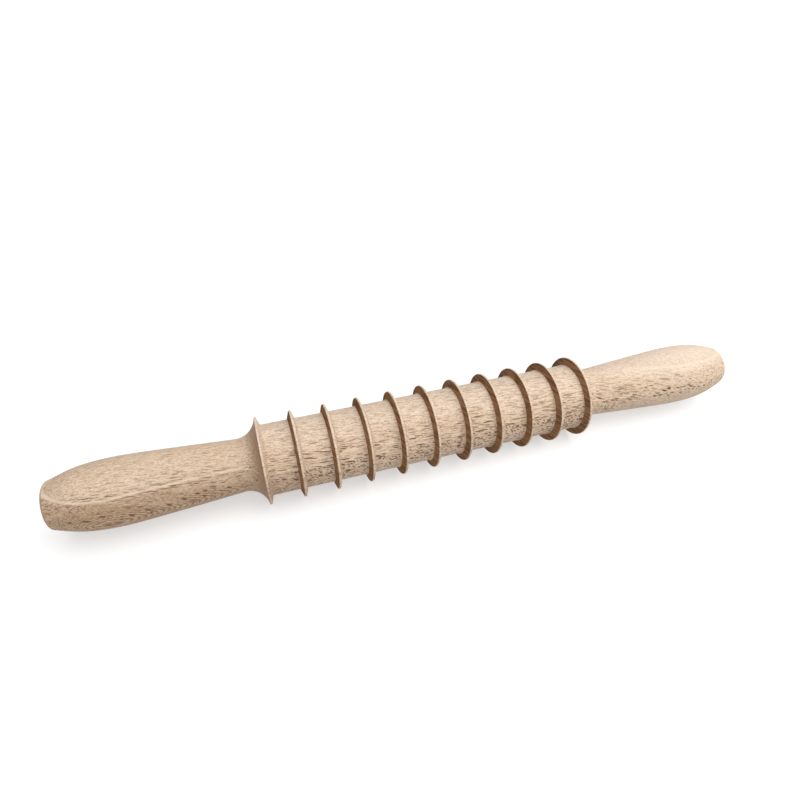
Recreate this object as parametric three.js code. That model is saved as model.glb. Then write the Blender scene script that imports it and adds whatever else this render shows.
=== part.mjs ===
// Pasta cutter rolling pin in turned beech, in millimetres.
// The pin lies along X with its middle at the origin, and Z is up. Thin cutting discs stand on a
// plain round core at an even pitch. Each end disc is turned in one piece with its handle, whose
// tenon is glued into the core. The discs between them are rings glued round the core.
import * as THREE from "three";

// Cutting discs, wedge shaped in section
const DISC_COUNT = 11;
const DISC_PITCH = 15;
const CUT_DEPTH = 3.7;
const RIM_THICKNESS = 0.85;
const RIM_EASE = 0.2;
const ROOT_THICKNESS = 3.3;

// Core
const CORE_DIAMETER = 31.2;

// Handles, measured from the middle of the end disc
const HANDLE_LENGTH = 85;
const COVE_RADIUS = 9;
const NECK_DIAMETER = 23;
const SWELL_DIAMETER = 28.8;
const SWELL_FROM_END = 28;
const NOSE_ANGLE = THREE.MathUtils.degToRad(17);
const END_EDGE_RADIUS = 2;
const END_FLAT_DIAMETER = 16.4;

// How far each curve runs straight on before it bends, as a share of that curve's own length
const NECK_EASE = 0.02;
const SWELL_EASE_INNER = 0.16;
const SWELL_EASE_OUTER = 0.6;
const NOSE_EASE = 0.26;

// Glued joints
const TENON_DIAMETER = 14;
const TENON_LENGTH = 28;
const TENON_CHAMFER = 1;
const SOCKET_END_ROOM = 1;
const GLUE_GAP = 0.15;

// Facets
const FACETS_ROUND = 40;
const COVE_STEPS = 8;
const GRIP_STEPS = 8;
const NOSE_STEPS = 8;
const END_EDGE_STEPS = 4;

// Beech as it looks on each kind of piece
const CORE_COLOUR = 0xdbbea1;
const HANDLE_COLOUR = 0xd6b897;
const DISC_COLOUR = 0xc9a480;
const BEECH_ROUGHNESS = 0.7;

const coreRadius = CORE_DIAMETER / 2;
const discRadius = coreRadius + CUT_DEPTH;
const neckRadius = NECK_DIAMETER / 2;
const swellRadius = SWELL_DIAMETER / 2;
const endFlatRadius = END_FLAT_DIAMETER / 2;
const tenonRadius = TENON_DIAMETER / 2;
const halfRoot = ROOT_THICKNESS / 2;
const halfRim = RIM_THICKNESS / 2;
const endDiscPlace = ((DISC_COUNT - 1) * DISC_PITCH) / 2;

const point = (radius, along) => new THREE.Vector2(radius, along);

// A turned piece: a profile of radius and place along the axis, with a flat facet underneath.
function turned(profile) {
  return new THREE.LatheGeometry(profile, FACETS_ROUND, Math.PI / FACETS_ROUND);
}

function beechMesh(name, geometry, colour) {
  const material = new THREE.MeshStandardMaterial({
    color: colour,
    roughness: BEECH_ROUGHNESS,
    metalness: 0,
  });
  const mesh = new THREE.Mesh(geometry, material);
  mesh.name = name;
  return mesh;
}

// The edge that cuts: a narrow rim with both corners eased, from the inner face to the outer one.
function rimProfile() {
  return [
    point(discRadius - RIM_EASE, -halfRim),
    point(discRadius, RIM_EASE - halfRim),
    point(discRadius, halfRim - RIM_EASE),
    point(discRadius - RIM_EASE, halfRim),
  ];
}

// Core: a plain cylinder between the end discs, with a blind socket for a tenon in each end.
function coreGeometry() {
  const halfLength = endDiscPlace - halfRoot - GLUE_GAP;
  const socketRadius = tenonRadius + GLUE_GAP;
  const socketBottom = endDiscPlace - halfRoot - TENON_LENGTH - SOCKET_END_ROOM;
  return turned([
    point(0, -socketBottom),
    point(socketRadius, -socketBottom),
    point(socketRadius, -halfLength),
    point(coreRadius, -halfLength),
    point(coreRadius, halfLength),
    point(socketRadius, halfLength),
    point(socketRadius, socketBottom),
    point(0, socketBottom),
  ]);
}

// Cutting disc: a ring that tapers from its root on the core to its rim.
function discGeometry() {
  const boreRadius = coreRadius + GLUE_GAP;
  const start = point(boreRadius, -halfRoot);
  return turned([start, ...rimProfile(), point(boreRadius, halfRoot), start]);
}

// Cove: the hollow that carries the outer face of the end disc round into the neck.
function coveProfile() {
  const top = Math.min(discRadius - RIM_EASE, neckRadius + COVE_RADIUS);
  const startAngle = Math.acos((top - neckRadius - COVE_RADIUS) / COVE_RADIUS);
  const neckPlace = halfRim + COVE_RADIUS * Math.sin(startAngle);
  const centre = point(neckRadius + COVE_RADIUS, neckPlace);
  const arc = new THREE.EllipseCurve(
    centre.x, centre.y, COVE_RADIUS, COVE_RADIUS, -startAngle, -Math.PI, true,
  );
  return arc.getPoints(COVE_STEPS);
}

// Grip: a long taper from the neck out to the swell that fills the palm.
function gripProfile(neck, swell) {
  const run = swell.y - neck.y;
  const curve = new THREE.CubicBezierCurve(
    neck,
    point(neck.x, neck.y + NECK_EASE * run),
    point(swell.x, swell.y - SWELL_EASE_INNER * run),
    swell,
  );
  return curve.getPoints(GRIP_STEPS);
}

// Nose: from the swell down to the rounded edge of the flat end.
function noseProfile(swell) {
  const edgeCentre = point(endFlatRadius, HANDLE_LENGTH - END_EDGE_RADIUS);
  const edge = new THREE.EllipseCurve(
    edgeCentre.x, edgeCentre.y, END_EDGE_RADIUS, END_EDGE_RADIUS, NOSE_ANGLE, Math.PI / 2,
  );
  const edgePoints = edge.getPoints(END_EDGE_STEPS);
  const edgeStart = edgePoints[0];
  const run = edgeStart.y - swell.y;
  const curve = new THREE.CubicBezierCurve(
    swell,
    point(swell.x, swell.y + SWELL_EASE_OUTER * run),
    point(
      edgeStart.x + NOSE_EASE * run * Math.sin(NOSE_ANGLE),
      edgeStart.y - NOSE_EASE * run * Math.cos(NOSE_ANGLE),
    ),
    edgeStart,
  );
  return [...curve.getPoints(NOSE_STEPS), ...edgePoints.slice(1)];
}

// Handle: tenon, end disc, cove, grip and nose in one turning, from the tenon's tip outwards.
function handleGeometry() {
  const tip = -halfRoot - TENON_LENGTH;
  const cove = coveProfile();
  const neck = cove[cove.length - 1];
  const swell = point(swellRadius, HANDLE_LENGTH - SWELL_FROM_END);
  return turned([
    point(0, tip),
    point(tenonRadius - TENON_CHAMFER, tip),
    point(tenonRadius, tip + TENON_CHAMFER),
    point(tenonRadius, -halfRoot),
    point(coreRadius, -halfRoot),
    ...rimProfile(),
    ...cove.slice(1),
    ...gripProfile(neck, swell).slice(1),
    ...noseProfile(swell).slice(1),
    point(0, HANDLE_LENGTH),
  ]);
}

// The pin is stacked along its own axis, then laid down along X.
const pastaPin = new THREE.Group();
pastaPin.rotation.z = -Math.PI / 2;

pastaPin.add(beechMesh("core", coreGeometry(), CORE_COLOUR));

const rightHandle = beechMesh("right_handle", handleGeometry(), HANDLE_COLOUR);
rightHandle.position.y = endDiscPlace;
pastaPin.add(rightHandle);

const leftHandle = beechMesh("left_handle", handleGeometry(), HANDLE_COLOUR);
leftHandle.position.y = -endDiscPlace;
leftHandle.rotation.z = Math.PI;
pastaPin.add(leftHandle);

// Discs are counted from the left, and the first and last belong to the handles.
for (let number = 2; number < DISC_COUNT; number += 1) {
  const name = `cutting_disc_${String(number).padStart(2, "0")}`;
  const disc = beechMesh(name, discGeometry(), DISC_COLOUR);
  disc.position.y = (number - 1) * DISC_PITCH - endDiscPlace;
  pastaPin.add(disc);
}

export default pastaPin;
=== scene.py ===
import math
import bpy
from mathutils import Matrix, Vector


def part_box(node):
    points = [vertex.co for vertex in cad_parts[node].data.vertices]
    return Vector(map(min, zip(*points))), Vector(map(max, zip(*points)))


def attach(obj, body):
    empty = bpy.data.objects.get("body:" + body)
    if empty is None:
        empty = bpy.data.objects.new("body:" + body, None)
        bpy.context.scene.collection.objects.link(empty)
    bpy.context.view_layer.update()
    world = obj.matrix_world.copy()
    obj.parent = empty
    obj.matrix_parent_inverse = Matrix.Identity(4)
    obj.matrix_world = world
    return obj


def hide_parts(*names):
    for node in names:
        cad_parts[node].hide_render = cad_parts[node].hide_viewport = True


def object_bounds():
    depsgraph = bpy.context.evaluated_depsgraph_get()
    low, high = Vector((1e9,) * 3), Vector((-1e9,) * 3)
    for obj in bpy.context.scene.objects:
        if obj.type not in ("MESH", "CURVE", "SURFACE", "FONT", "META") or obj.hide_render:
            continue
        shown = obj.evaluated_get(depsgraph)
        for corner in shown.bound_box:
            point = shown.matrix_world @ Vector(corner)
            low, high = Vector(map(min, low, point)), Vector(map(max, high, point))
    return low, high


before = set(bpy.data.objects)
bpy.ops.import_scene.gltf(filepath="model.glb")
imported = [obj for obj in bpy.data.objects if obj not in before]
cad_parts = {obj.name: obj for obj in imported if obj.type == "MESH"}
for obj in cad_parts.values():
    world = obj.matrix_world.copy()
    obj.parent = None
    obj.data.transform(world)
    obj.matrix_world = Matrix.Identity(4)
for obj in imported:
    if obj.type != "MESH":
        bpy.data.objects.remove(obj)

from types import SimpleNamespace

import bmesh
import bpy
from mathutils import Vector
from mathutils.geometry import interpolate_bezier

cad_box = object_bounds()


# Core
# The plain round middle of the pin: one length of beech with its grain along the pin, turned and
# sanded bare. A blind socket in each end takes the glued tenon of a handle.
MM = 0.001
TURNING_STEPS = 192
MERGE_DISTANCE = 0.0005 * MM
SHARP_ANGLE = math.radians(35)
core_low, core_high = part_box("core")
CORE_RADIUS = core_high.z
TENON_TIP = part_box("right_handle")[0].x
TENON_RADIUS = 7.0 * MM
GLUE_GAP = 0.15 * MM
SOCKET_RADIUS = TENON_RADIUS + GLUE_GAP
SOCKET_END_ROOM = 1.0 * MM
SOCKET_BOTTOM = TENON_TIP - SOCKET_END_ROOM


def draw_profile(bm, points):
    """Draws a line through points of (place along the pin, radius) and returns its vertices."""
    verts = [bm.verts.new((along, 0, radius)) for along, radius in points]
    for first, second in zip(verts, verts[1:]):
        bm.edges.new((first, second))
    return verts


def turn_on_lathe(bm):
    """Spins the drawn profile right round the pin's axis into one closed skin."""
    bmesh.ops.spin(
        bm,
        geom=bm.verts[:] + bm.edges[:],
        cent=(0, 0, 0),
        axis=(1, 0, 0),
        dvec=(0, 0, 0),
        angle=math.tau,
        steps=TURNING_STEPS,
        use_merge=True,
    )
    bmesh.ops.remove_doubles(bm, verts=bm.verts, dist=MERGE_DISTANCE)
    bmesh.ops.recalc_face_normals(bm, faces=bm.faces)


def place_turning(bm, name, node, material):
    """Makes the turned skin a piece that stands for its CAD node."""
    mesh = bpy.data.meshes.new(name)
    bm.to_mesh(mesh)
    bm.free()
    mesh.shade_smooth()
    mesh.set_sharp_from_angle(angle=SHARP_ANGLE)
    mesh.materials.append(material)
    piece = bpy.data.objects.new(name, mesh)
    bpy.context.scene.collection.objects.link(piece)
    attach(piece, "root")
    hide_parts(node)


def add_node(tree, kind, inputs, **settings):
    """Adds a shader node, sets its options and fills its sockets with values or links."""
    node = tree.nodes.new(kind)
    for name, value in settings.items():
        setattr(node, name, value)
    for name, value in inputs.items():
        if isinstance(value, bpy.types.NodeSocket):
            tree.links.new(value, node.inputs[name])
        else:
            node.inputs[name].default_value = value
    return node


def calculate(tree, operation, *values):
    """One Math node."""
    return add_node(tree, "ShaderNodeMath", dict(enumerate(values)), operation=operation).outputs[0]


def calculate_vector(tree, operation, *values):
    """One Vector Math node, with its outputs Vector and Value."""
    sockets = dict(enumerate(values))
    return add_node(tree, "ShaderNodeVectorMath", sockets, operation=operation).outputs


def multiply(tree, product, *factors):
    """The product of several shares and depths."""
    for factor in factors:
        product = calculate(tree, "MULTIPLY", product, factor)
    return product


def vary(tree, share, start, change):
    """A depth that moves from its start by a change as a share rises from 0 to 1."""
    return calculate(tree, "MULTIPLY_ADD", share, change, start)


def invert(tree, share):
    """What a share leaves of 1."""
    return calculate(tree, "SUBTRACT", 1.0, share)


def fade(tree, value, start, end):
    """Rises smoothly from 0 at start to 1 at end."""
    sockets = {"Value": value, "From Min": start, "From Max": end}
    node = add_node(tree, "ShaderNodeMapRange", sockets, interpolation_type="SMOOTHSTEP")
    return node.outputs[0]


# Places of the Mix node's sockets, several of which have the same name
MIX_SHARE = 0
MIX_FIRST_COLOUR = 6
MIX_SECOND_COLOUR = 7
MIX_RESULT_COLOUR = 2


def blend_colours(tree, share, first, second):
    """Mixes two colours by a share from 0, all first, to 1, all second."""
    sockets = {MIX_SHARE: share, MIX_FIRST_COLOUR: first, MIX_SECOND_COLOUR: second}
    return add_node(tree, "ShaderNodeMix", sockets, data_type="RGBA").outputs[MIX_RESULT_COLOUR]


def split(tree, vector):
    """The three numbers of a vector."""
    return add_node(tree, "ShaderNodeSeparateXYZ", {0: vector}).outputs


def combine(tree, x, y, z):
    """Three numbers as one vector."""
    return add_node(tree, "ShaderNodeCombineXYZ", {0: x, 1: y, 2: z}).outputs[0]


def turn_about_pin(tree, vector, angle):
    """Turns a place about the pin's axis."""
    sockets = {"Vector": vector, "Angle": angle}
    return add_node(tree, "ShaderNodeVectorRotate", sockets, rotation_type="X_AXIS").outputs[0]


# How the grain lies in the billet, in millimetres
PITH_DISTANCE = 80.0
LEFT_CLIMB = (-48.0, -165.0, 4.9)
RIGHT_CLIMB = (60.0, 145.0, -5.3)
WANDER_ALONG = 40.0
WANDER_ACROSS = 25.0
WANDER_DEPTH = 1.8
WANDER_DETAIL = 1.0
NOISE_MIDDLE = (0.5, 0.5, 0.5)
GRAIN_DRIFT = 0.03
BEND_START = 75.0
BEND_DRIFT = 0.13
TWIST_MIDDLE = 0.04
TWIST_SLOPE = 0.00053


def climb(tree, along, start, end, height):
    """Rises along the pin from 0 at start to its height at end, most steeply at first."""
    sockets = {"Value": along, "From Min": start, "From Max": end, "To Max": math.pi / 2}
    quarter = add_node(tree, "ShaderNodeMapRange", sockets).outputs[0]
    return multiply(tree, calculate(tree, "SINE", quarter), height)


def wander(tree, place):
    """Lets straight grain sway slowly across the pin."""
    scale = (1 / WANDER_ALONG, 1 / WANDER_ACROSS, 1 / WANDER_ACROSS)
    slow = calculate_vector(tree, "MULTIPLY", place, scale)["Vector"]
    sockets = {"Vector": slow, "Scale": 1.0, "Detail": WANDER_DETAIL}
    noise = add_node(tree, "ShaderNodeTexNoise", sockets).outputs["Color"]
    sway = calculate_vector(tree, "SUBTRACT", noise, NOISE_MIDDLE)["Vector"]
    depth = (0.0, WANDER_DEPTH, WANDER_DEPTH)
    return calculate_vector(tree, "MULTIPLY_ADD", sway, depth, place)["Vector"]


def lay_grain(tree):
    """Places along the grain, round the rings and out from the pith, for a slightly twisted billet."""
    coordinates = add_node(tree, "ShaderNodeTexCoord", {}).outputs
    sockets = {"Vector": coordinates["Object"], "Scale": (1 / MM, 1 / MM, 1 / MM)}
    millimetres = add_node(tree, "ShaderNodeMapping", sockets).outputs[0]
    along = split(tree, millimetres)[0]
    twist = vary(tree, along, TWIST_MIDDLE, TWIST_SLOPE)
    wavy = split(tree, wander(tree, turn_about_pin(tree, millimetres, twist)))

    past_bend = calculate(tree, "MAXIMUM", calculate(tree, "SUBTRACT", along, BEND_START), 0.0)
    aside = vary(tree, along, wavy[1], GRAIN_DRIFT)
    aside = vary(tree, past_bend, aside, BEND_DRIFT)
    climbs = calculate(tree, "ADD", climb(tree, along, *LEFT_CLIMB), climb(tree, along, *RIGHT_CLIMB))
    pith_depth = calculate(tree, "SUBTRACT", PITH_DISTANCE, climbs)
    height = calculate(tree, "ADD", wavy[2], pith_depth)
    from_pith = calculate_vector(tree, "LENGTH", combine(tree, 0.0, aside, height))["Value"]
    outward = calculate(tree, "SUBTRACT", from_pith, PITH_DISTANCE)
    around = multiply(tree, calculate(tree, "ARCTAN2", aside, height), PITH_DISTANCE)
    across_pin = calculate_vector(tree, "MULTIPLY", millimetres, (0, 1, 1))["Vector"]
    return SimpleNamespace(
        along=along,
        around=around,
        outward=outward,
        wood=combine(tree, along, around, outward),
        normal=split(tree, coordinates["Normal"]),
        radius=calculate_vector(tree, "LENGTH", across_pin)["Value"],
    )


def grain_noise(tree, wood, wavelengths, detail):
    """Noise with a wavelength in millimetres along the grain, round the rings and out from the pith."""
    place = calculate_vector(tree, "MULTIPLY", wood, tuple(1 / length for length in wavelengths))
    sockets = {"Vector": place["Vector"], "Scale": 1.0, "Detail": detail}
    return add_node(tree, "ShaderNodeTexNoise", sockets).outputs[0]


# Lenses: how neighbours are staggered and scattered, and how softly they end
STAGGER = (1.0, 0.38, 0.27)
LENS_SCATTER = 0.85
LENS_STRENGTHS = 0.30
LENS_CORE = 0.8


def lenses(tree, wood, spacing, radius, rarity, dimensions="3D"):
    """Rays of the wood as small flat lenses: how far apart they are, how big and how seldom dark."""
    place = calculate_vector(tree, "MULTIPLY", wood, tuple(1 / size for size in spacing))["Vector"]
    staggered = calculate_vector(tree, "DOT_PRODUCT", place, STAGGER)["Value"]
    axes = split(tree, place)
    laid = combine(tree, staggered, axes[1], axes[2])
    sockets = {"Vector": laid, "Scale": 1.0, "Randomness": LENS_SCATTER}
    cells = add_node(tree, "ShaderNodeTexVoronoi", sockets, voronoi_dimensions=dimensions).outputs
    chance = add_node(tree, "ShaderNodeSeparateColor", {0: cells["Color"]}).outputs[0]
    strength = fade(tree, chance, rarity, rarity + LENS_STRENGTHS)
    lens = fade(tree, cells["Distance"], radius, LENS_CORE * radius)
    return multiply(tree, lens, strength)


# Zones of the billet in millimetres, and in the slope of the surface, each from its edge inwards
RING_START = 5.4
RING_WIDTH = 10.5
LIGHT_LINE = (0.55, 0.10)
LIGHT_ARCH = (0.6, 0.2)
LINE_ROW = (1.9, 0.7)
LEFT_ROW_CHANGE = -0.55
RIGHT_ROW = (3.4, 1.4)
RIGHT_ROW_END = (156.0, 138.0)
INNER_WOOD = (RING_START + 0.3, RING_START - 1.5)
RIGHT_UPPER = (RING_START + 4.0, RING_START + 11.0)
LEFT_END = (-55.0, -95.0)
RIGHT_END = (70.0, 125.0)
RIGHT_OF_COVE = (-76.0, -70.0)
COVE_SLOPE = (-0.30, -1.0)
PATCHES = ((24.0, 4.0, 6.0), 1.0)
PATCH_EDGES = (0.28, 0.48)


def find_zones(tree, grain):
    """Shares from 0 to 1 of the places where the figure of the wood differs."""
    left_end = fade(tree, grain.along, *LEFT_END)
    right_end = fade(tree, grain.along, *RIGHT_END)
    right_of_cove = fade(tree, grain.along, *RIGHT_OF_COVE)
    inner = fade(tree, grain.outward, *INNER_WOOD)
    patches = fade(tree, grain_noise(tree, grain.wood, *PATCHES), *PATCH_EDGES)

    ring_place = calculate(tree, "SUBTRACT", grain.outward, RING_START)
    from_line = calculate(tree, "ABSOLUTE", ring_place)
    from_arch = calculate(tree, "ABSOLUTE", calculate(tree, "SUBTRACT", ring_place, RING_WIDTH))
    line_row = fade(tree, from_line, *LINE_ROW)
    line_row = multiply(tree, line_row, vary(tree, left_end, 1.0, LEFT_ROW_CHANGE))
    right_row = multiply(tree, right_end, fade(tree, from_line, *RIGHT_ROW))
    right_row = multiply(tree, right_row, fade(tree, grain.along, *RIGHT_ROW_END))
    return SimpleNamespace(
        left_end=left_end,
        right_end=right_end,
        body=calculate(tree, "SUBTRACT", invert(tree, left_end), right_end),
        inner=inner,
        right_upper=multiply(tree, right_end, fade(tree, grain.outward, *RIGHT_UPPER)),
        light_line=fade(tree, from_line, *LIGHT_LINE),
        light_arch=multiply(tree, right_end, fade(tree, from_arch, *LIGHT_ARCH)),
        dash_row=calculate(tree, "MAXIMUM", line_row, right_row),
        feathers=multiply(tree, inner, left_end, patches),
        right_of_cove=right_of_cove,
        cove=multiply(tree, fade(tree, grain.normal[0], *COVE_SLOPE), invert(tree, right_of_cove)),
    )


# Ground colour
PALE = (0.655, 0.508, 0.372, 1)
WARM = (0.615, 0.462, 0.327, 1)
TAN = (0.478, 0.343, 0.223, 1)
TOP_HIGHLIGHT_TINT = (0.740, 0.620, 0.515, 1)
CLOUDS = ((55.0, 7.0, 7.0), 2.0)
CLOUD_EDGES = (0.3, 0.7)
TAN_SIDE = (-20.0, -100.0)
TAN_HEIGHT = (10.0, 0.0)
TAN_DEPTH = 0.85
BODY_TOP = (11.9, 14.9)
BODY_TOP_HIGHLIGHT = 0.4
RIGHT_TOP = (RING_START + 7.0, RING_START + 14.0)
RIGHT_TOP_HIGHLIGHT = 0.62


def ground_colour(tree, grain, zones):
    """Pale and warm clouds, tan wood low on the left, and a painted highlight that pales the top of the
    body and the top of the right handle.
    """
    clouds = fade(tree, grain_noise(tree, grain.wood, *CLOUDS), *CLOUD_EDGES)
    colour = blend_colours(tree, clouds, PALE, WARM)
    tan_side = fade(tree, grain.along, *TAN_SIDE)
    tan = multiply(tree, tan_side, fade(tree, grain.outward, *TAN_HEIGHT), TAN_DEPTH)
    colour = blend_colours(tree, tan, colour, TAN)
    # Painted highlight: the top of the body and the top of the right handle are paled where the light
    # falls strongest.
    body_top = multiply(tree, fade(tree, grain.outward, *BODY_TOP), BODY_TOP_HIGHLIGHT)
    right_top = multiply(tree, zones.right_end, fade(tree, grain.outward, *RIGHT_TOP), RIGHT_TOP_HIGHLIGHT)
    return blend_colours(tree, calculate(tree, "MAXIMUM", body_top, right_top), colour, TOP_HIGHLIGHT_TINT)


# Feathered figure low on the left handle
FIBRE_COLOUR = (0.260, 0.124, 0.050, 1)
FEATHER_SPACING = 0.30
FEATHER_EDGES = (0.0, 0.9)
FEATHER_BREAKS = (0.18, 0.50)
RIPPLE = ((16.0, 3.0, 5.0), 1.0)
RIPPLE_DEPTH = 0.2


def add_feathers(tree, grain, zones, fuzz, colour):
    """Thin dark sheets that the lathe cuts at a slant, broken up by the fuzz."""
    place = vary(tree, grain_noise(tree, grain.wood, *RIPPLE), grain.around, RIPPLE_DEPTH)
    wave = calculate(tree, "SINE", multiply(tree, place, math.tau / FEATHER_SPACING))
    feathers = multiply(tree, fade(tree, wave, *FEATHER_EDGES), zones.feathers)
    feathers = multiply(tree, feathers, fade(tree, fuzz, *FEATHER_BREAKS))
    return blend_colours(tree, feathers, colour, FIBRE_COLOUR)


# Fuzz of short fibres, and longer dark and light fibres
LIGHT_WOOD_AND_HIGHLIGHT = (0.780, 0.620, 0.475, 1)
FUZZ = ((1.1, 0.38, 0.7), 1.0)
FUZZ_EDGES = (0.42, 0.70)
FUZZ_DEPTH = 0.42
RIGHT_FUZZ_CHANGE = -0.14
FEATHER_FUZZ_CHANGE = 0.20
COVE_FUZZ_CHANGE = 0.40
DARK_FIBRES = ((5.0, 0.48, 0.9), 0.36, 0.0)
LIGHT_FIBRES = ((6.0, 0.55, 1.0), 0.38, 0.0)
FIBRE_DEPTH = 0.45
PLAIN_FIBRE_CHANGE = -0.33
PLAIN_LEFT = 0.45
PLAIN_RIGHT = 0.4


def add_fibres(tree, grain, zones, fuzz, colour):
    """Fuzz all over, and longer fibres that are fainter on the handles than on the body."""
    fuzz_depth = vary(tree, zones.right_upper, FUZZ_DEPTH, RIGHT_FUZZ_CHANGE)
    fuzz_depth = vary(tree, zones.feathers, fuzz_depth, FEATHER_FUZZ_CHANGE)
    fuzz_depth = vary(tree, zones.cove, fuzz_depth, COVE_FUZZ_CHANGE)
    fuzz_share = multiply(tree, fade(tree, fuzz, *FUZZ_EDGES), fuzz_depth)
    colour = blend_colours(tree, fuzz_share, colour, FIBRE_COLOUR)

    plain_right = calculate(tree, "ADD", zones.right_end, zones.right_upper)
    plain_right = multiply(tree, plain_right, PLAIN_RIGHT)
    plain_left = multiply(tree, zones.left_end, PLAIN_LEFT)
    plain = calculate(tree, "MAXIMUM", plain_left, plain_right)
    plain = calculate(tree, "MAXIMUM", plain, zones.feathers)
    fibre_depth = vary(tree, plain, FIBRE_DEPTH, PLAIN_FIBRE_CHANGE)
    dark_fibres = multiply(tree, lenses(tree, grain.wood, *DARK_FIBRES), fibre_depth)
    colour = blend_colours(tree, dark_fibres, colour, FIBRE_COLOUR)
    light_fibres = multiply(tree, lenses(tree, grain.wood, *LIGHT_FIBRES), fibre_depth)
    return blend_colours(tree, light_fibres, colour, LIGHT_WOOD_AND_HIGHLIGHT)


# Rays cut lengthways, which show as short dark dashes
DASH_COLOUR = (0.105, 0.037, 0.011, 1)
DASHES = ((6.0, 0.55, 1.1), 0.27, 0.25)
BODY_DASHES = ((7.5, 0.9, 1.2), 0.28, 0.25)
TOP_DASHES = ((10.0, 0.50, 1.0), 0.19, 0.0, "2D")
TOP_DASH_SLOPE = (0.3, 0.6)
LINE_DASHES = ((6.0, 0.55, 1.2), 0.40, 0.0)
ROWS = ((40.0, 0.9, 1.2), 0.0)
ROW_EDGES = (0.40, 0.52)
OFF_ROW_DEPTH = 0.5
ROW_CHANGE = 0.5
TOP_HIGHLIGHT_SLOPE = (0.5, 0.95)
TOP_HIGHLIGHT_FADING = -0.60
RIGHT_DASH_CHANGE = -0.8


def find_dashes(tree, grain, zones):
    """Dashes in rows, longer on the body, crowded along the pale line and faded on top by a painted
    highlight.
    """
    body_dashes = multiply(tree, lenses(tree, grain.wood, *BODY_DASHES), zones.body)
    dashes = calculate(tree, "MAXIMUM", lenses(tree, grain.wood, *DASHES), body_dashes)
    rows = fade(tree, grain_noise(tree, grain.wood, *ROWS), *ROW_EDGES)
    dashes = multiply(tree, dashes, vary(tree, rows, OFF_ROW_DEPTH, ROW_CHANGE))
    top_share = fade(tree, grain.normal[2], *TOP_DASH_SLOPE)
    top_dashes = multiply(tree, lenses(tree, grain.wood, *TOP_DASHES), top_share)
    line_dashes = multiply(tree, lenses(tree, grain.wood, *LINE_DASHES), zones.dash_row)
    dashes = calculate(tree, "MAXIMUM", dashes, top_dashes)
    dashes = calculate(tree, "MAXIMUM", dashes, line_dashes)
    # Painted highlight: the dashes fade where the surface faces up, as if washed out by the light.
    top_highlight = fade(tree, grain.normal[2], *TOP_HIGHLIGHT_SLOPE)
    dashes = multiply(tree, dashes, vary(tree, top_highlight, 1.0, TOP_HIGHLIGHT_FADING))
    return multiply(tree, dashes, vary(tree, zones.right_upper, 1.0, RIGHT_DASH_CHANGE))


# Rays cut across, which show as brown spots on the upright side and as flecks low on the body
SPOT_COLOUR = (0.150, 0.062, 0.026, 1)
SPOTS = ((4.0, 1.2, 3.0), 0.30, 0.3)
FLECKS = ((1.5, 0.50, 1.2), 0.40, 0.15)
UPRIGHT_SLOPE = (0.40, 0.12)
SPOT_DEPTH = 0.95


def find_spots(tree, grain, zones):
    """Spots on the upright sides of all but the right handle, and flecks below the pale line."""
    upright = fade(tree, calculate(tree, "ABSOLUTE", grain.normal[2]), *UPRIGHT_SLOPE)
    spots = multiply(tree, lenses(tree, grain.wood, *SPOTS), upright, invert(tree, zones.right_end))
    flecks = multiply(tree, lenses(tree, grain.wood, *FLECKS), zones.body, zones.inner)
    return multiply(tree, calculate(tree, "MAXIMUM", spots, flecks), SPOT_DEPTH)


# Pale growth lines
LINE_DEPTH = 0.35
LEFT_LINE_CHANGE = 0.20
ARCH_DEPTH = 0.4


def find_lines(tree, zones):
    """One line along the front, strongest on the left handle, and an arch on the right one."""
    line_depth = vary(tree, zones.left_end, LINE_DEPTH, LEFT_LINE_CHANGE)
    line = multiply(tree, zones.light_line, line_depth)
    return calculate(tree, "MAXIMUM", line, multiply(tree, zones.light_arch, ARCH_DEPTH))


# End grain and painted shade: dark stripes on the discs' left faces, which turn from the key light, and
# a darker tint of painted shade in the left cove
SHADED_END_PALE = (0.300, 0.167, 0.088, 1)
SHADED_END_DARK = (0.180, 0.086, 0.040, 1)
END_TILT = math.radians(11)
END_STRIPES = ((9.0, 9.0, 1.1), 1.0)
END_STRIPE_EDGES = (0.40, 0.66)
FACE_SLOPE = (-0.70, -0.93)
FACE_START = CORE_RADIUS / MM
FACE_EDGE = 0.5
COVE_SHADE_DEPTH = 0.8


def find_disc_faces(tree, grain, zones):
    """The left faces of the discs, where they stand above the core, which take the painted shade."""
    faces = multiply(tree, fade(tree, grain.normal[0], *FACE_SLOPE), zones.right_of_cove)
    return multiply(tree, faces, fade(tree, grain.radius, FACE_START, FACE_START + FACE_EDGE))


def end_grain_and_shade_colour(tree, grain):
    """Light and dark end-grain stripes at a slant to the table, darkened with painted shade."""
    tilted = turn_about_pin(tree, grain.wood, END_TILT)
    stripes = fade(tree, grain_noise(tree, tilted, *END_STRIPES), *END_STRIPE_EDGES)
    return blend_colours(tree, stripes, SHADED_END_PALE, SHADED_END_DARK)


# Finish: a painted highlight along the rims, dashes and fuzz a little sunk, and end grain that hardly
# shines
RING_NODES = sorted(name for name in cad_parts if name.startswith("cutting_disc"))
DISC_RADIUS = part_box(RING_NODES[0])[1].z
RIM_ROUND = 0.3 * MM
RIM_HIGHLIGHT = 0.25
RELIEF = -0.8
RELIEF_STRENGTH = 0.6
RELIEF_HEIGHT = 0.1 * MM
WOOD_ROUGHNESS = 0.5
FUZZ_ROUGHNESS = 0.25
WOOD_IOR = 1.5
END_IOR_CHANGE = -0.48


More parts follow.
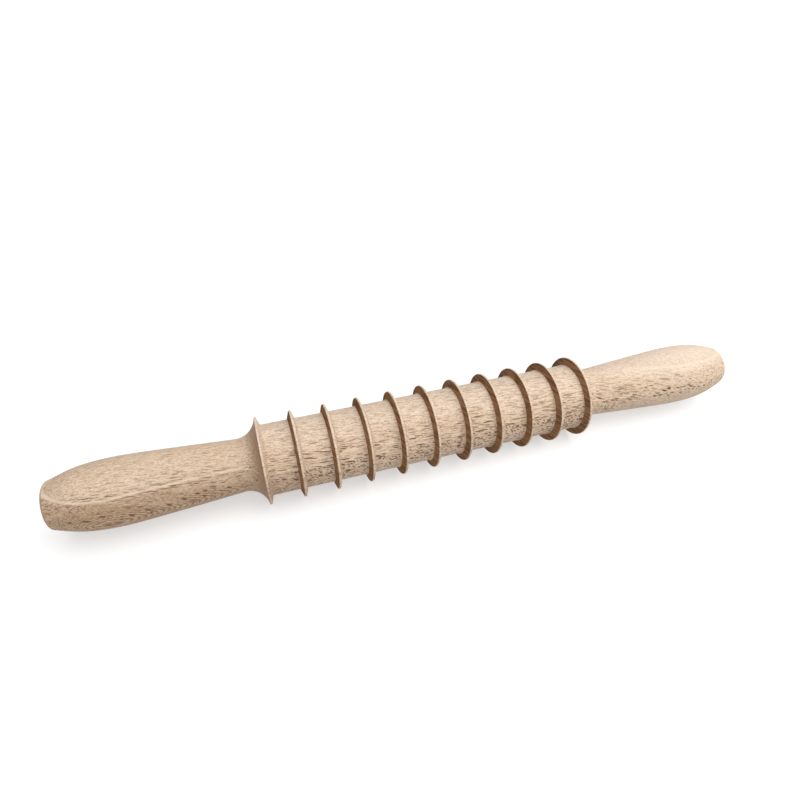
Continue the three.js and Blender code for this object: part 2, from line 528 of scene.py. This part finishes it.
def make_beech():
    """Bare sanded beech, one solid block of it, so the grain runs on from piece to piece."""
    material = bpy.data.materials.new("bare_beech")
    material.use_nodes = True
    tree = material.node_tree
    tree.nodes.clear()
    grain = lay_grain(tree)
    zones = find_zones(tree, grain)
    fuzz = grain_noise(tree, grain.wood, *FUZZ)
    dashes = find_dashes(tree, grain, zones)
    disc_faces = find_disc_faces(tree, grain, zones)
    rim_highlight_share = fade(tree, grain.radius, (DISC_RADIUS - RIM_ROUND) / MM, DISC_RADIUS / MM)

    colour = ground_colour(tree, grain, zones)
    colour = add_feathers(tree, grain, zones, fuzz, colour)
    colour = add_fibres(tree, grain, zones, fuzz, colour)
    colour = blend_colours(tree, dashes, colour, DASH_COLOUR)
    colour = blend_colours(tree, find_spots(tree, grain, zones), colour, SPOT_COLOUR)
    colour = blend_colours(tree, find_lines(tree, zones), colour, LIGHT_WOOD_AND_HIGHLIGHT)
    # Painted shade, partly end grain: the slopes of the left cove that face left, away from the key
    # light, are tinted darker.
    colour = blend_colours(tree, multiply(tree, zones.cove, COVE_SHADE_DEPTH), colour, SHADED_END_PALE)
    # Painted shade, partly end grain: the discs' left faces turn from the key light and are coloured
    # dark brown, while the right faces stay pale.
    colour = blend_colours(tree, disc_faces, colour, end_grain_and_shade_colour(tree, grain))
    # Painted highlight: the rounded rims are lightened as if they catch the light.
    colour = blend_colours(tree, multiply(tree, rim_highlight_share, RIM_HIGHLIGHT), colour, LIGHT_WOOD_AND_HIGHLIGHT)

    relief = multiply(tree, calculate(tree, "ADD", dashes, fuzz), RELIEF)
    sockets = {"Strength": RELIEF_STRENGTH, "Distance": RELIEF_HEIGHT, "Height": relief}
    bump = add_node(tree, "ShaderNodeBump", sockets).outputs[0]
    sockets = {
        "Base Color": colour,
        "Roughness": vary(tree, fuzz, WOOD_ROUGHNESS, FUZZ_ROUGHNESS),
        "IOR": vary(tree, disc_faces, WOOD_IOR, END_IOR_CHANGE),
        "Normal": bump,
    }
    shader = add_node(tree, "ShaderNodeBsdfPrincipled", sockets).outputs[0]
    add_node(tree, "ShaderNodeOutputMaterial", {"Surface": shader})
    return material


beech = make_beech()
core_mesh = bmesh.new()
draw_profile(
    core_mesh,
    [
        (-SOCKET_BOTTOM, 0),
        (-SOCKET_BOTTOM, SOCKET_RADIUS),
        (core_low.x, SOCKET_RADIUS),
        (core_low.x, CORE_RADIUS),
        (core_high.x, CORE_RADIUS),
        (core_high.x, SOCKET_RADIUS),
        (SOCKET_BOTTOM, SOCKET_RADIUS),
        (SOCKET_BOTTOM, 0),
    ],
)
turn_on_lathe(core_mesh)
place_turning(core_mesh, "beech_core", "core", beech)


# Cutting rings
# Thin beech discs that cut the dough, wedge shaped from a stout root to a narrow rounded rim.
# Each is a ring slid over the core and glued, with a small fillet where it meets the core.
ring_low, ring_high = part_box(RING_NODES[0])
HALF_ROOT = (ring_high.x - ring_low.x) / 2
HALF_RIM = 0.425 * MM
RIM_STEPS = 5
ROOT_FILLET = 0.4 * MM
ROOT_STEPS = 4


def round_corners(bm, corners, size, steps):
    """Rounds corners of a drawn profile."""
    bmesh.ops.bevel(
        bm, geom=corners, offset=size, segments=steps, profile=0.5, affect="VERTICES", material=-1
    )


def place_of(node):
    """The middle of a ring along the pin."""
    low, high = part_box(node)
    return (low.x + high.x) / 2


for ring_node in RING_NODES:
    middle = place_of(ring_node)
    ring_mesh = bmesh.new()
    corners = draw_profile(
        ring_mesh,
        [
            (middle - HALF_ROOT - ROOT_FILLET, CORE_RADIUS),
            (middle - HALF_ROOT, CORE_RADIUS),
            (middle - HALF_RIM, DISC_RADIUS),
            (middle + HALF_RIM, DISC_RADIUS),
            (middle + HALF_ROOT, CORE_RADIUS),
            (middle + HALF_ROOT + ROOT_FILLET, CORE_RADIUS),
        ],
    )
    left_foot, left_root, left_rim, right_rim, right_root, right_foot = corners
    ring_mesh.edges.new((right_foot, left_foot))
    round_corners(ring_mesh, [left_root, right_root], ROOT_FILLET, ROOT_STEPS)
    round_corners(ring_mesh, [left_rim, right_rim], RIM_ROUND, RIM_STEPS)
    turn_on_lathe(ring_mesh)
    place_turning(ring_mesh, "beech_" + ring_node, ring_node, beech)


# Handles
# Two like turnings in beech, each with the end cutting disc as its flange, a cove down to the neck,
# a grip that swells towards the palm and a rounded nose with a small flat. A tenon glues into the core.
DISC_PITCH = (place_of(RING_NODES[-1]) - place_of(RING_NODES[0])) / (len(RING_NODES) - 1)
END_DISC = place_of(RING_NODES[-1]) + DISC_PITCH
HANDLE_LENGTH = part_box("right_handle")[1].x - END_DISC
COVE_RADIUS = 9.0 * MM
COVE_STEPS = 24
NECK_RADIUS = 11.5 * MM
SWELL_RADIUS = 14.4 * MM
SWELL_FROM_END = 28.0 * MM
NOSE_ANGLE = math.radians(17)
END_EDGE_RADIUS = 2.0 * MM
END_FLAT_RADIUS = 8.2 * MM
END_EDGE_STEPS = 10
GRIP_STEPS = 40
NOSE_STEPS = 32
NECK_EASE = 0.02
SWELL_EASE_INNER = 0.16
SWELL_EASE_OUTER = 0.6
NOSE_EASE = 0.26
TENON_CHAMFER = 1.0 * MM


def arc(centre, radius, start, end, steps):
    """Points on a circle of (place along, radius), with angles from the way out of the axis."""
    angles = [start + (end - start) * step / steps for step in range(steps + 1)]
    return [
        (centre[0] + radius * math.sin(angle), centre[1] + radius * math.cos(angle))
        for angle in angles
    ]


def curve(first, first_pull, last_pull, last, steps):
    """Points on a Bezier curve of (place along, radius)."""
    knots = [Vector((along, radius, 0)) for along, radius in (first, first_pull, last_pull, last)]
    return [(point.x, point.y) for point in interpolate_bezier(*knots, steps + 1)]


def handle_outline():
    """The handle's outline from the rim of its disc to its end, measured from the disc's middle."""
    cove_top = DISC_RADIUS - RIM_ROUND
    cove_start = math.acos((cove_top - NECK_RADIUS - COVE_RADIUS) / COVE_RADIUS)
    neck_place = HALF_RIM + COVE_RADIUS * math.sin(cove_start)
    cove_centre = (neck_place, NECK_RADIUS + COVE_RADIUS)
    cove = arc(cove_centre, COVE_RADIUS, -cove_start, -math.pi, COVE_STEPS)
    neck = cove[-1]
    swell = (HANDLE_LENGTH - SWELL_FROM_END, SWELL_RADIUS)
    grip_run = swell[0] - neck[0]
    grip = curve(
        neck,
        (neck[0] + NECK_EASE * grip_run, neck[1]),
        (swell[0] - SWELL_EASE_INNER * grip_run, swell[1]),
        swell,
        GRIP_STEPS,
    )
    edge_centre = (HANDLE_LENGTH - END_EDGE_RADIUS, END_FLAT_RADIUS)
    end_edge = arc(edge_centre, END_EDGE_RADIUS, NOSE_ANGLE, math.pi / 2, END_EDGE_STEPS)
    edge_start = end_edge[0]
    nose_run = edge_start[0] - swell[0]
    nose = curve(
        swell,
        (swell[0] + SWELL_EASE_OUTER * nose_run, swell[1]),
        (
            edge_start[0] - NOSE_EASE * nose_run * math.cos(NOSE_ANGLE),
            edge_start[1] + NOSE_EASE * nose_run * math.sin(NOSE_ANGLE),
        ),
        edge_start,
        NOSE_STEPS,
    )
    return cove + grip[1:] + nose[1:] + end_edge[1:]


for handle_node, side in (("left_handle", -1), ("right_handle", 1)):
    handle_mesh = bmesh.new()
    tenon_and_disc = [
        (TENON_TIP - END_DISC, 0),
        (TENON_TIP - END_DISC, TENON_RADIUS - TENON_CHAMFER),
        (TENON_TIP - END_DISC + TENON_CHAMFER, TENON_RADIUS),
        (-HALF_ROOT, TENON_RADIUS),
        (-HALF_ROOT, CORE_RADIUS),
        (-HALF_ROOT - ROOT_FILLET, CORE_RADIUS),
        (-HALF_ROOT, CORE_RADIUS),
        (-HALF_RIM, DISC_RADIUS),
        (HALF_RIM, DISC_RADIUS),
    ]
    outline = tenon_and_disc + handle_outline() + [(HANDLE_LENGTH, 0)]
    verts = draw_profile(
        handle_mesh, [(side * (END_DISC + along), radius) for along, radius in outline]
    )
    root, inner_rim, outer_rim = verts[len(tenon_and_disc) - 3:len(tenon_and_disc)]
    round_corners(handle_mesh, [root], ROOT_FILLET, ROOT_STEPS)
    round_corners(handle_mesh, [inner_rim, outer_rim], RIM_ROUND, RIM_STEPS)
    turn_on_lathe(handle_mesh)
    place_turning(handle_mesh, "beech_" + handle_node, handle_node, beech)


# Floor
# A plain white table top under the pin, matt and wide. It glows a little, so the pin's shadow stays
# faint, and it throws no light back on the pin, whose underside stays in deep shade.
FLOOR_SIZE = 30.0
FLOOR_GREY = 0.5
FLOOR_GLOW = 0.5
PAINT_ROUGHNESS = 0.9
PAINT_SHINE = 0.1


def plain_paint(name, grey, glow):
    """Matt paint that gives off some white light of its own."""
    paint = bpy.data.materials.new(name)
    paint.use_nodes = True
    sockets = paint.node_tree.nodes["Principled BSDF"].inputs
    sockets["Base Color"].default_value = (grey, grey, grey, 1)
    sockets["Emission Color"].default_value = (1, 1, 1, 1)
    sockets["Emission Strength"].default_value = glow
    sockets["Roughness"].default_value = PAINT_ROUGHNESS
    sockets["Specular IOR Level"].default_value = PAINT_SHINE
    return paint


def set_up(bm, name, paint):
    """Makes a shape an object of the studio, one that throws no light on the pin."""
    mesh = bpy.data.meshes.new(name)
    bm.to_mesh(mesh)
    bm.free()
    mesh.materials.append(paint)
    studio_object = bpy.data.objects.new(name, mesh)
    studio_object.visible_diffuse = False
    bpy.context.scene.collection.objects.link(studio_object)
    return studio_object


floor_mesh = bmesh.new()
bmesh.ops.create_grid(floor_mesh, x_segments=1, y_segments=1, size=FLOOR_SIZE / 2)
bmesh.ops.translate(floor_mesh, verts=floor_mesh.verts, vec=(0, 0, cad_box[0].z))
floor_paint = plain_paint("white_table", FLOOR_GREY, FLOOR_GLOW)
floor = set_up(floor_mesh, "floor", floor_paint)


# Backdrop
# A plain white dome of stretched cloth round the table, so every side view ends in white. It only
# shows in the picture: it neither lights the pin nor shades it.
BACKDROP_RADIUS = 14.0
BACKDROP_SEGMENTS = 64
BACKDROP_RINGS = 32
BACKDROP_GREY = 0.0
BACKDROP_GLOW = 1.0
backdrop_mesh = bmesh.new()
bmesh.ops.create_uvsphere(
    backdrop_mesh, u_segments=BACKDROP_SEGMENTS, v_segments=BACKDROP_RINGS, radius=BACKDROP_RADIUS
)
bmesh.ops.reverse_faces(backdrop_mesh, faces=backdrop_mesh.faces)
backdrop_paint = plain_paint("white_cloth", BACKDROP_GREY, BACKDROP_GLOW)
backdrop = set_up(backdrop_mesh, "backdrop", backdrop_paint)
backdrop.visible_glossy = False
backdrop.visible_shadow = False


# Studio light
# A wide soft key almost overhead, a small panel near the right handle, a low panel behind for the
# back of the pin, and a room that is bright in front and a little to the right, dark at the back left.
KEY_DIRECTION = Vector((-0.15, 0.20, -0.95))
KEY_STRENGTH = 1.95
KEY_SPREAD = math.radians(60)
PANEL_PLACE = Vector((0.25, -0.18, 0.22))
PANEL_AIM = Vector((0.12, 0, 0))
PANEL_SIZE = 0.22
PANEL_POWER = 0.31
BACK_PLACE = Vector((0.15, 0.70, 0.15))
BACK_AIM = Vector((0, 0, 0))
BACK_SIZE = 0.6
BACK_POWER = 1.0
ROOM_BRIGHTNESS = 0.67
ROOM_BRIGHT_WAY = Vector((0.45, -0.80, -0.10))
ROOM_SHADES = (-1.2, 0.1)


def add_lamp(name, kind, place, direction, power):
    """A lamp that shines along a direction."""
    data = bpy.data.lights.new(name, kind)
    data.energy = power
    lamp = bpy.data.objects.new(name, data)
    lamp.location = place
    lamp.rotation_mode = "QUATERNION"
    lamp.rotation_quaternion = direction.to_track_quat("-Z", "Y")
    bpy.context.scene.collection.objects.link(lamp)
    return data


key = add_lamp("key", "SUN", -KEY_DIRECTION, KEY_DIRECTION, KEY_STRENGTH)
key.angle = KEY_SPREAD
panel = add_lamp("panel", "AREA", PANEL_PLACE, PANEL_AIM - PANEL_PLACE, PANEL_POWER)
panel.size = PANEL_SIZE
back = add_lamp("back", "AREA", BACK_PLACE, BACK_AIM - BACK_PLACE, BACK_POWER)
back.size = BACK_SIZE

room = bpy.data.worlds.new("room")
room.use_nodes = True
room_tree = room.node_tree
room_way = add_node(room_tree, "ShaderNodeTexCoord", {}).outputs["Generated"]
room_side = calculate_vector(room_tree, "DOT_PRODUCT", room_way, ROOM_BRIGHT_WAY)["Value"]
room_light = multiply(room_tree, fade(room_tree, room_side, *ROOM_SHADES), ROOM_BRIGHTNESS)
room_paint = room_tree.nodes["Background"]
room_paint.inputs["Color"].default_value = (1, 1, 1, 1)
room_tree.links.new(room_light, room_paint.inputs["Strength"])
bpy.context.scene.world = room
bpy.context.scene.view_settings.view_transform = "Standard"


# Camera
# Stands in front of the left handle and looks down along the pin to the right. Its turn and its dip
# are in radians, and its lens is in millimetres.
CAMERA_PLACE = Vector((-71.03, -186.16, 178.09)) * MM
CAMERA_TURN = 0.3040
CAMERA_DIP = 0.6849
CAMERA_LENS = 25.83
CAMERA_NEAR = 10.0 * MM

camera_data = bpy.data.cameras.new("camera")
camera_data.lens = CAMERA_LENS
camera_data.clip_start = CAMERA_NEAR
camera = bpy.data.objects.new("camera", camera_data)
camera.location = CAMERA_PLACE
camera.rotation_euler = (math.pi / 2 - CAMERA_DIP, 0, -CAMERA_TURN)
bpy.context.scene.collection.objects.link(camera)
bpy.context.scene.camera = camera
